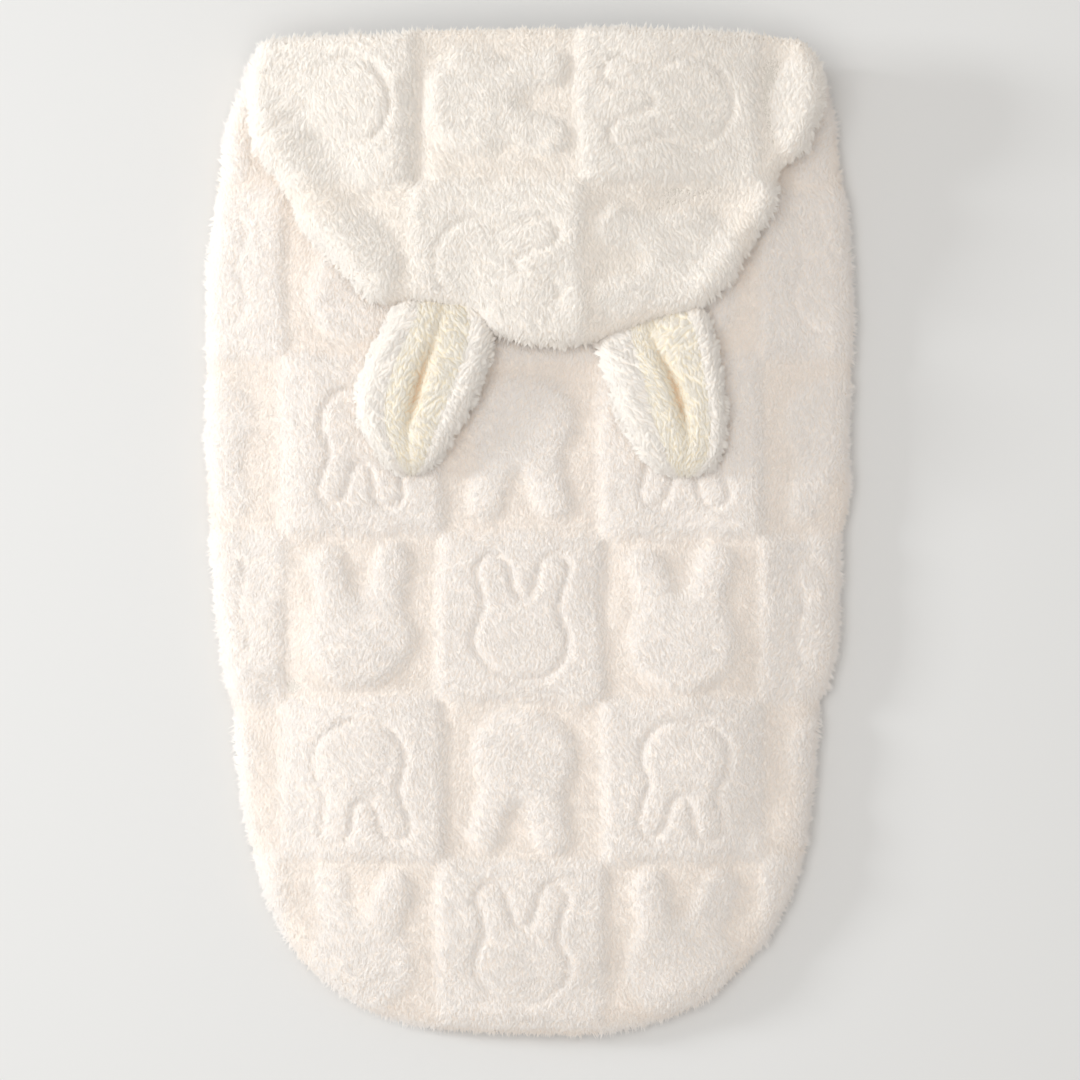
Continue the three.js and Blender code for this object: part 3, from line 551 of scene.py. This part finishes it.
def fill_mesh(name, points, faces, shade_tones=None, normals=None):
    """A mesh from arrays: points in millimetres, and faces with the same count of corners."""
    mesh = bpy.data.meshes.new(name)
    sides = faces.shape[1]
    mesh.vertices.add(len(points))
    mesh.vertices.foreach_set("co", (points * MM).astype(np.float32).ravel())
    mesh.loops.add(faces.size)
    mesh.loops.foreach_set("vertex_index", faces.astype(np.int32).ravel())
    mesh.polygons.add(len(faces))
    mesh.polygons.foreach_set("loop_start", np.arange(0, faces.size, sides, dtype=np.int32))
    mesh.update(calc_edges=True)
    mesh.polygons.foreach_set("use_smooth", np.ones(len(faces), bool))
    if shade_tones is not None:
        layer = mesh.attributes.new("pile", "FLOAT", "POINT")
        layer.data.foreach_set("value", shade_tones.astype(np.float32))
    if normals is not None:
        mesh.normals_split_custom_set_from_vertices(normals)
    return mesh


def grid_piece(name, points, squares, up, material):
    """A shell from a grid of points, with only the squares that are cloth."""
    rows, columns = points.shape[:2]
    index = np.arange(rows * columns).reshape(rows, columns)
    corners = np.stack([index[:-1, :-1], index[:-1, 1:], index[1:, 1:], index[1:, :-1]], axis=-1)
    faces = corners[squares]
    flat = points.reshape(-1, 3)
    first = flat[faces[:, :3]]
    facing = np.cross(first[:, 1] - first[:, 0], first[:, 2] - first[:, 0])
    wanted = np.broadcast_to(up, points.shape).reshape(-1, 3)[faces[:, 0]]
    if (facing * wanted).sum() < 0:
        faces = faces[:, ::-1]
    used, packed = np.unique(faces, return_inverse=True)
    # A shell takes its material's root colour, which for the plush is painted shade under the pile.
    mesh = fill_mesh(name, flat[used], packed.reshape(faces.shape), np.full(len(used), ROOT_TONE))
    return new_object(name, mesh, material)


# ---- Pile --------------------------------------------------------------------------------------
def nearest_tufts(u, v, seed):
    """How far across its nearest tuft each place lies, and that tuft's turn and size.

    The tufts stand on a jittered lattice over the cloth. A tuft is longer than it is wide.
    """
    best = np.full(u.size, np.inf)
    across, turn, size = (np.zeros(u.size) for _ in range(3))
    for di in (-1, 0, 1):
        for dj in (-1, 0, 1):
            i, j = np.floor(u / CLUMP) + di, np.floor(v / CLUMP) + dj
            tuft_u = (i + lattice(i, j, seed + 1)) * CLUMP
            tuft_v = (j + lattice(i, j, seed + 2)) * CLUMP
            way = TAU / 4 + DRIFT * noise(tuft_u, tuft_v, DRIFT_SIZE, seed + 3)
            way = way + SCATTER * (lattice(i, j, seed + 4) - 0.5)
            way += TAU / 2 * (lattice(i, j, seed + 6) > 0.5)
            du, dv = u - tuft_u, v - tuft_v
            a = du * np.cos(way) + dv * np.sin(way)
            b = dv * np.cos(way) - du * np.sin(way)
            gap = (a / TUFT_LONG) ** 2 + (b / TUFT_WIDE) ** 2
            nearer = gap < best
            best = np.where(nearer, gap, best)
            across, turn = np.where(nearer, b, across), np.where(nearer, way, turn)
            size = np.where(nearer, lattice(i, j, seed + 5), size)
    return across, turn, size


def grow_pile(name, surface, count, length, material, seed, width=0.95):
    """Pile as tapered blades rooted on a grid surface and gathered in tufts.

    The surface is a grid of points, their normals, the weight of each square, and at each point
    the share of the length and the shade tone of the tips, where a lower tone paints shade.
    """
    points, normals, weight, height_scale, shade_tone = surface
    rng = np.random.default_rng(seed)
    a, b, c, d = points[:-1, :-1], points[:-1, 1:], points[1:, 1:], points[1:, :-1]
    halves = [np.linalg.norm(np.cross(*pair), axis=-1) for pair in ((b - a, d - a), (d - c, b - c))]
    area = (halves[0] + halves[1]) / 2
    share = (area * weight).ravel()
    cells = rng.choice(share.size, size=count, p=share / share.sum())
    j, i = np.divmod(cells, area.shape[1])
    s, t = rng.random(count), rng.random(count)

    def at(grid):
        extra = (slice(None),) + (None,) * (grid.ndim - 2)
        low = grid[j, i] * (1 - s)[extra] + grid[j, i + 1] * s[extra]
        high = grid[j + 1, i] * (1 - s)[extra] + grid[j + 1, i + 1] * s[extra]
        return low * (1 - t)[extra] + high * t[extra]

    roots, normal = at(points), unit(at(normals))
    up = normal[:, 2]
    tangent = unit(b[j, i] - a[j, i])
    tangent = unit(tangent - normal * (tangent * normal).sum(axis=1, keepdims=True))
    bitangent = np.cross(normal, tangent)
    bitangent *= np.sign((bitangent * (d[j, i] - a[j, i])).sum(axis=1, keepdims=True))
    u = (i + s) * np.linalg.norm(b - a, axis=-1).mean()
    v = (j + t) * np.linalg.norm(d - a, axis=-1).mean()
    across, turn, size = nearest_tufts(u, v, seed)

    ridge = tangent * np.cos(turn)[:, None] + bitangent * np.sin(turn)[:, None]
    # On the sides the pile hangs down.
    would_rise = (ridge[:, 2:] > 0) & (up[:, None] < 0.8)
    ridge *= np.where(would_rise & (rng.random((count, 1)) < HANGING), -1, 1)
    beside = bitangent * np.cos(turn)[:, None] - tangent * np.sin(turn)[:, None]
    long = length * at(height_scale) * (TUFT_LEAST + TUFT_MORE * size)
    long = long * rng.uniform(SHORTEST, LONGEST, count)
    # At the rims tufts of uneven length stand out.
    rim = 1 - smoothstep(up, 0.1, 0.65)
    long *= 1 + RIM_LONGER * rim * size**2
    lean = (LEAN + rng.normal(0, LEAN_SPREAD, count)) * (0.5 + 0.5 * smoothstep(up, 0, 0.7))
    sideways = ridge * (long * lean * LEAN_REACH)[:, None]
    gathered = across * GATHER * (1 + 0.5 * rim)
    sideways -= beside * (gathered + rng.normal(0, SWAY, count))[:, None]
    too_far = np.linalg.norm(sideways, axis=1) / (FLATTEST * long)
    sideways /= np.maximum(too_far, 1)[:, None]
    rise = np.sqrt(np.maximum(long**2 - (sideways**2).sum(axis=1), 0))
    stem = normal * rise[:, None] + sideways
    tips = roots + stem
    tips[:, 2] = np.maximum(tips[:, 2], LOWEST_TIP)
    # A blade's face is turned a little upwards, so that its back is seldom seen.
    facing = unit(0.6 * normal + UP)
    half = unit(np.cross(facing, stem)) * (width * rng.uniform(THINNEST, WIDEST, count))[:, None]
    vertices = np.stack([roots + half, roots - half, tips], axis=1).reshape(-1, 3)
    # The tufts are shaded as round, and on the sides as lit partly from above, as loose fibre is.
    rounding = np.clip(across / TUFT_WIDE, -1, 1) * 0.3
    upwards = 0.3 + 1.4 * (1 - np.clip(up, 0, 1)) * smoothstep(up, -0.95, -0.4)
    shading = normal + upwards[:, None] * UP + beside * rounding[:, None]
    shading = unit(shading + rng.normal(0, 0.04, (count, 3)))
    faces = np.arange(3 * count).reshape(-1, 3)
    # A blade's root is painted darker than its tip as shade, and all of it is darker where the
    # shade tone is low.
    tip_shade_tone = at(shade_tone)
    shade_tones = np.stack([ROOT_TONE * tip_shade_tone, ROOT_TONE * tip_shade_tone, tip_shade_tone], axis=1).ravel()
    mesh = fill_mesh(name, vertices, faces, shade_tones, np.repeat(shading, 3, axis=0))
    return new_object(name, mesh, material)


# ---- The back of the bag and the hood ----------------------------------------------------------
def back_puff(distance, v):
    crown = BAG["puff"] * smoothstep(distance, 0, 90) * smoothstep(-v, -45, 60)
    return crown + BAG["shoulder"] * smoothstep(distance, -10, 54)


def hood_puff(distance, v):
    return HOOD["puff"] * smoothstep(distance, -8, 90)


# The open edges as lines over the whole width of the grids.
SIDE = 400
NECK_LINE = [(-SIDE, BAG["neck"]), (SIDE, BAG["neck"])]
FACE_LINE = [(-SIDE, HOOD_FACE[0][1]), *HOOD_FACE, (SIDE, HOOD_FACE[-1][1])]
back_wall = Wall(BAG_RIM, BAG, NECK_LINE, BACK_PATTERN, BACK_FOLDS, back_puff, round_off=60)
hood_wall = Wall(HOOD_RIM, HOOD, FACE_LINE, HOOD_PATTERN, HOOD_FOLDS, hood_puff, round_off=30)


def wall_pieces(name, wall, material, pile_parts, blades, seed, hidden):
    """A wall's fine shell, its pile in parts, and its knit inside."""
    points, squares, relief = wall.sheet(GRID, BED, HEM, TURNED_IN)
    shell, shell_squares, _ = wall.sheet(SHELL_GRID, BED, HEM, TURNED_IN)
    cloth = grid_piece(f"{name}_cloth", shell, shell_squares, wall_normals(shell), material)
    shown = squares * (quad_weight(points[..., 2]) > wall.size["bottom"] + PILE_FROM)
    shown = shown * (1 - hidden(quad_weight(points[..., 0]), quad_weight(points[..., 1])))
    lift = smoothstep(relief, -2, PILE)
    # Pressed low, the pile is shorter, and painted darker and warmer as shade in low squares and
    # grooves.
    long, shade_tone = LOW_LONG + (1 - LOW_LONG) * lift, LOW_SHADE_TONE + (1 - LOW_SHADE_TONE) * lift
    surface = (points, wall_normals(points), shown, long, shade_tone)
    pile = [
        grow_pile(f"{name}_pile_{k + 1}", surface, blades, PILE_LONG, material, seed + 10 * k)
        for k in range(pile_parts)
    ]
    inner, inner_squares, _ = wall.sheet(INSIDE_GRID, WALL, 0.0, 0.0, plain=True)
    inside = grid_piece(f"{name}_inside", inner, inner_squares, -UP, KNIT)
    return cloth, pile, inside


def under_hood(x, y):
    """1 where the hood hides the back, so no pile is grown there."""
    distance, _, _ = hood_wall.to_loop(x, np.minimum(y, HIDDEN["highest"]))
    covered = (distance > HIDDEN["inside"]) & (y < BAG["neck"] - HIDDEN["below_neck"])
    return covered.astype(float)


def nowhere(x, y):
    return np.zeros_like(x)


back_cloth, back_pile, back_inside = wall_pieces(
    "back", back_wall, PLUSH, 3, BLADES["back"], 100, under_hood
)
hood_cloth, hood_pile, hood_inside = wall_pieces(
    "hood_top", hood_wall, HOOD_PLUSH, 2, BLADES["hood"], 300, nowhere
)
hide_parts("back")
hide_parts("hood_top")


# ---- Ears --------------------------------------------------------------------------------------
def ear_rows(table):
    """Rows across an ear: middle, direction across, half width, height, and where the crease is."""
    flat = [(*left, *right, *crease, height) for left, right, crease, height in table]
    rows = spline(flat, EAR_ROWS)
    left, right, crease, height = rows[:, :2], rows[:, 2:4], rows[:, 4:6], rows[:, 6]
    middle, half = (left + right) / 2, (right - left) / 2
    width = np.linalg.norm(half, axis=1)
    fold = np.clip(((crease - middle) * half).sum(axis=1) / width**2, -0.3, 0.3)
    t = np.linspace(0, 1, EAR_ROWS)
    close = np.sqrt(np.maximum(1 - (np.maximum(t - TIP_FROM, 0) / TIP_RUN) ** 2, 0.02))
    return middle, half / width[:, None], width * close**0.3, height * close**0.7, fold


def ear_outside(table, lips):
    middle, across, width, height, _ = ear_rows(table)
    sides = []
    for sign, lip in zip((-1, 1), lips):
        rim = [(sign * (abs(lip) + (1 - abs(lip)) * share), up) for share, up in EAR_RIM]
        sides.append(rim + [(sign * x, up) for x, up in EAR_UNDER])
    line = spline(sides[0] + sides[1][::-1], SHELL_COLUMNS)
    w, h = (width - EAR_BED)[:, None], (height - EAR_BED)[:, None]
    return ear_grid(middle, across, line[:, 0] * w, line[:, 1] * h, height, True)


def ear_inside(table, lips):
    """The lining's grid, its normals, and how deep in the crease each point is, from 0 to 1."""
    middle, across, width, height, fold = ear_rows(table)
    s = np.linspace(-1, 1, LINING_COLUMNS)[None]
    w, h = (width - EAR_BED)[:, None], (height - LINING_BED)[:, None]
    centre, half = (lips[1] + lips[0]) / 2, (lips[1] - lips[0]) / 2
    bend = np.clip((fold - centre) / half, -0.4, 0.4)[:, None]
    x = (centre + half * (s + bend * (1 - s * s))) * w
    run = np.interp(np.linspace(0, 1, EAR_ROWS), *np.array(CREASE_RUN).T)[:, None]
    deep = run * CREASE["depth"]
    lobes = LOBE + LOBE_RISE * (1 - (2 * np.abs(s) - 1) ** 2)
    z = (lobes - deep * np.exp(-((np.abs(s) / CREASE["half"]) ** 1.5))) * h
    in_crease = deep / CREASE["depth"] * np.exp(-((np.abs(s) / CREASE["shade_half"]) ** 2))
    return *ear_grid(middle, across, x, z, height, False), in_crease


def ear_grid(middle, across, x, z, height, closed):
    """Points over an ear's rows, slightly uneven, and their normals."""
    z = z + 0.5 * noise(x + 50, np.cumsum(np.full_like(x, 2.4), axis=0), 11, 31)
    plan = middle[:, None] + across[:, None] * x[..., None]
    points = np.concatenate([plan, (HOOD["bottom"] + np.maximum(z, 0.4))[..., None]], axis=-1)
    if not closed:
        return points, grid_normals(points, UP)
    core = np.concatenate([np.broadcast_to(middle[:, None], plan.shape), x[..., None] * 0], axis=-1)
    core[..., 2] = HOOD["bottom"] + 0.45 * height[:, None]
    return points, grid_normals(points, points - core)


def ear_pieces(side, table, lips, seed):
    """An ear's plush outside and its lining, each with its pile."""
    outer, outer_normals = ear_outside(table, lips)
    inner, inner_normals, in_crease = ear_inside(table, lips)
    shell = grid_piece(
        f"ear_{side}_shell", outer, all_squares(outer), outer_normals, HOOD_PLUSH
    )
    lining = grid_piece(
        f"ear_{side}_lining", inner, all_squares(inner), inner_normals, LINING
    )
    even = np.ones(outer.shape[:2])
    seen = quad_weight(smoothstep(outer_normals[..., 2], -0.5, 0.1))
    outside = (outer, outer_normals, seen, even, even)
    pile = grow_pile(
        f"ear_{side}_shell_pile", outside, BLADES["ear_shell"], 2.9, HOOD_PLUSH, seed
    )
    # In the crease the pile is shorter, and painted darker and more orange as shade.
    short, shade_tone = 1 - 0.4 * in_crease, 1 - 0.8 * in_crease
    inside = (inner, inner_normals, quad_weight(np.ones_like(short)), short, shade_tone)
    tufts = grow_pile(
        f"ear_{side}_lining_pile",
        inside,
        BLADES["ear_lining"],
        3.3,
        LINING,
        seed + 5,
        width=0.75,
    )
    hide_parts(f"ear_{side}_outer")
    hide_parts(f"ear_{side}_inner")
    return shell, lining, pile, tufts


left_ear = ear_pieces("left", LEFT_EAR, LEFT_LIPS, 500)
right_ear = ear_pieces("right", RIGHT_EAR, RIGHT_LIPS, 600)


# ---- Front panels and the hood's hidden layer --------------------------------------------------
def soft_panel(node, material):
    """The node's own form with its edges rounded, as a sewn panel's are."""
    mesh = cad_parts[node].data.copy()
    mesh.materials.clear()
    if "custom_normal" in mesh.attributes:
        mesh.attributes.remove(mesh.attributes["custom_normal"])
    joined = bmesh.new()
    joined.from_mesh(mesh)
    bmesh.ops.remove_doubles(joined, verts=joined.verts, dist=0.02 * MM)
    joined.to_mesh(mesh)
    joined.free()
    mesh.polygons.foreach_set("use_smooth", np.zeros(len(mesh.polygons), bool))
    layer = mesh.attributes.new("pile", "FLOAT", "POINT")
    layer.data.foreach_set("value", np.full(len(mesh.vertices), 0.5, np.float32))
    piece = new_object(f"{node}_cloth", mesh, material)
    bevel = piece.modifiers.new("edge", "BEVEL")
    bevel.width = 1.6 * MM
    bevel.segments = 3
    bevel.limit_method = "ANGLE"
    bevel.angle_limit = math.radians(50)
    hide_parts(node)
    return piece


def edge_pile(node, material, seed):
    """Pile over the open edge of a panel, where it shows in the neck or the hood's mouth."""
    middle = spline(OPEN_EDGES[node], 130)
    half = PANEL_HALF
    # In section: round the edge from below, and on over the top.
    turn = np.linspace(-0.9, math.pi / 2, 9)
    back = np.concatenate([half * np.cos(turn) - half, [-half - 3, -half - 6]])
    up = np.concatenate([half * np.sin(turn), [half, half]])
    points = middle[None] + np.stack([0 * back, back, up], axis=1)[:, None]
    points[..., 2] = np.maximum(points[..., 2], OPEN_EDGE_LOW)
    core = points * [1, 1, 0] + UP * middle[None] - [0, 2 * half, 0]
    normals = grid_normals(points, points - core)
    even = np.ones(points.shape[:2])
    surface = (points, normals, quad_weight(even), even, 0.85 * even)
    blades = BLADES["open_edge"]
    return grow_pile(f"{node}_edge_pile", surface, blades, 3.0, material, seed, width=1.3)


panels = {node: soft_panel(node, PLUSH) for node in ("wing_left", "wing_right", "pouch")}
panels["hood_under"] = soft_panel("hood_under", HOOD_PLUSH)
hems = {
    "wing_left": edge_pile("wing_left", PLUSH, 700),
    "wing_right": edge_pile("wing_right", PLUSH, 710),
    "hood_under": edge_pile("hood_under", HOOD_PLUSH, 720),
}

# ---- Floor, light and camera -------------------------------------------------------------------
FLOOR_HALF = 9000
scene = bpy.context.scene
floor_corners = np.array([[-1, -1, 0], [1, -1, 0], [1, 1, 0], [-1, 1, 0]], float) * FLOOR_HALF
floor_mesh = fill_mesh("floor", floor_corners, np.array([[0, 1, 2, 3]]))
floor = bpy.data.objects.new("floor", floor_mesh)
scene.collection.objects.link(floor)
paper = bpy.data.materials.new("paper")
paper.use_nodes = True
paper_shader = paper.node_tree.nodes["Principled BSDF"]
paper_shader.inputs["Base Color"].default_value = (0.805, 0.804, 0.794, 1)
paper_shader.inputs["Roughness"].default_value = 0.9
floor_mesh.materials.append(paper)

world = bpy.data.worlds.new("studio")
world.use_nodes = True
sky = world.node_tree.nodes["Background"]
sky.inputs["Color"].default_value = (1, 0.98, 0.957, 1)
sky.inputs["Strength"].default_value = 0.42
scene.world = world


def area_light(name, place, size, energy, colour):
    """A square light, in metres, that faces the origin and isn't seen itself."""
    data = bpy.data.lights.new(name, "AREA")
    data.shape = "SQUARE"
    data.size = size
    data.energy = energy
    data.color = colour
    light = bpy.data.objects.new(name, data)
    light.location = place
    x, y, z = unit(np.array(place, float))
    light.rotation_euler = (math.acos(z), 0, math.atan2(x, -y))
    light.visible_camera = False
    scene.collection.objects.link(light)


KEY_UP, KEY_ROUND, KEY_AWAY = math.radians(20), math.radians(10), 3.2
key_place = [
    -KEY_AWAY * math.cos(KEY_UP) * math.cos(KEY_ROUND),
    KEY_AWAY * math.cos(KEY_UP) * math.sin(KEY_ROUND),
    KEY_AWAY * math.sin(KEY_UP),
]
area_light("key", key_place, 0.62, 52, (0.94, 0.975, 1.0))
area_light("fill", (-0.4, 0.05, 2.65), 2.2, 35.5, (1.0, 0.99, 0.975))

# The camera looks straight down and takes in FRAME_MM across at FOCUS_UP over the floor.
FRAME_MM, FOCUS_UP, CENTRE_X = 702, 32, 6.5
LENS, SENSOR = 110, 36
camera_data = bpy.data.cameras.new("camera")
camera_data.sensor_width = SENSOR
camera_data.lens = LENS
camera = bpy.data.objects.new("camera", camera_data)
camera.location = (CENTRE_X * MM, 0, (FRAME_MM * LENS / SENSOR + FOCUS_UP) * MM)
camera.rotation_euler = (0, 0, 0)
scene.collection.objects.link(camera)
scene.camera = camera
scene.view_settings.view_transform = "Standard"
scene.cycles.diffuse_bounces = 10
